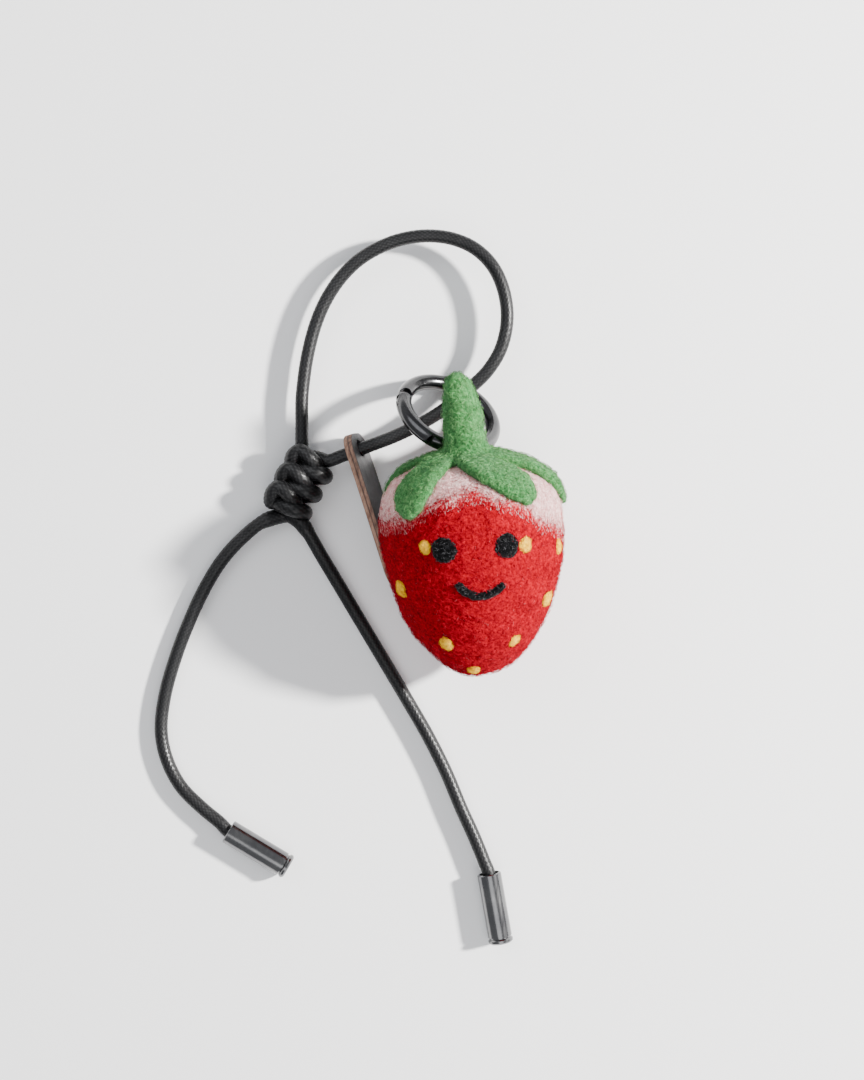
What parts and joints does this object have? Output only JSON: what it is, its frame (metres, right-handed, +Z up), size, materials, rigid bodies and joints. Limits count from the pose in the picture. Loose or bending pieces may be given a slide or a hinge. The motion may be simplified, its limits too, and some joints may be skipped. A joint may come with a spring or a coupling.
{
  "type": "plush keychain",
  "caption": "Needle-felted strawberry charm with a smiling face on a spring-gate ring, hung on a knotted round cord loop with metal end caps and a leather tag.",
  "frame": {"origin": "on the surface it lies on, under the middle of the box around the charm, ring and tag", "axes": "+X to the charm's right as seen from above with its face up, +Y towards the stem and the cord's loop, +Z up"},
  "size_m": [0.0925, 0.1625, 0.0405],
  "materials": {
    "cord": "round waxed braid, satin sheen",
    "gunmetal": "polished gunmetal plating over zinc",
    "steel_wire": "bright drawn wire",
    "red_wool": "needle-felted wool, matte and fuzzy",
    "pink_wool": "needle-felted wool, matte and fuzzy",
    "plain_wool": "undyed core wool",
    "green_felt": "needle-felted wool, matte and fuzzy",
    "black_felt": "needle-felted wool, matte",
    "yellow_felt": "needle-felted wool, matte",
    "dark_leather": "smooth dark leather",
    "brown_leather": "smooth brown leather with a raw edge"
  },
  "bodies": {
    "cord": {"cord_loop": "cord", "cord_knot": "cord", "cord_tail_left": "cord", "cord_tail_right": "cord", "cord_bead_left": "cord", "cord_bead_right": "cord", "cap_left_tube": "gunmetal", "cap_left_plug": "gunmetal", "cap_right_tube": "gunmetal", "cap_right_plug": "gunmetal"},
    "ring": {"ring_frame": "gunmetal", "gate_pin": "gunmetal", "gate_spring": "steel_wire"},
    "gate": {"gate_arm": "gunmetal"},
    "berry": {"screw_eye": "steel_wire", "wool_core": "plain_wool", "red_felt_body": "red_wool", "pink_felt_cap": "pink_wool", "calyx_hub": "green_felt", "stem": "green_felt", "leaf_front_left": "green_felt", "leaf_front_right": "green_felt", "leaf_right": "green_felt", "leaf_back": "green_felt", "leaf_left": "green_felt", "eye_left": "black_felt", "eye_right": "black_felt", "smile": "black_felt", "seeds_front": "yellow_felt", "seeds_back": "yellow_felt"},
    "tag": {"tag_ply_right": "dark_leather", "tag_ply_left": "brown_leather"}
  },
  "joints": [
    {"name": "ring_on_cord", "type": "hinge", "parent": "cord", "child": "ring", "pos_m": [0.003, 0.02971, 0.00607], "axis": [-0.7286, -0.6848, -0.0146], "range_deg": [0, 20]},
    {"name": "gate_hinge", "type": "hinge", "parent": "ring", "child": "gate", "pos_m": [-0.01101, 0.02736, 0.01238], "axis": [0.3596, 0.6764, 0.6428], "range_deg": [0, 25], "stiffness_Nm_per_rad": 0.002},
    {"name": "berry_swing", "type": "hinge", "parent": "ring", "child": "berry", "pos_m": [0.0047, 0.01645, 0.01508], "axis": [0.7631, 0.1832, -0.6197], "range_deg": [-20, 0]},
    {"name": "tag_swing", "type": "hinge", "parent": "cord", "child": "tag", "pos_m": [-0.02165, 0.01668, 0.00556], "axis": [0.924, 0.265, 0.2756], "range_deg": [-90, 0]}
  ]
}
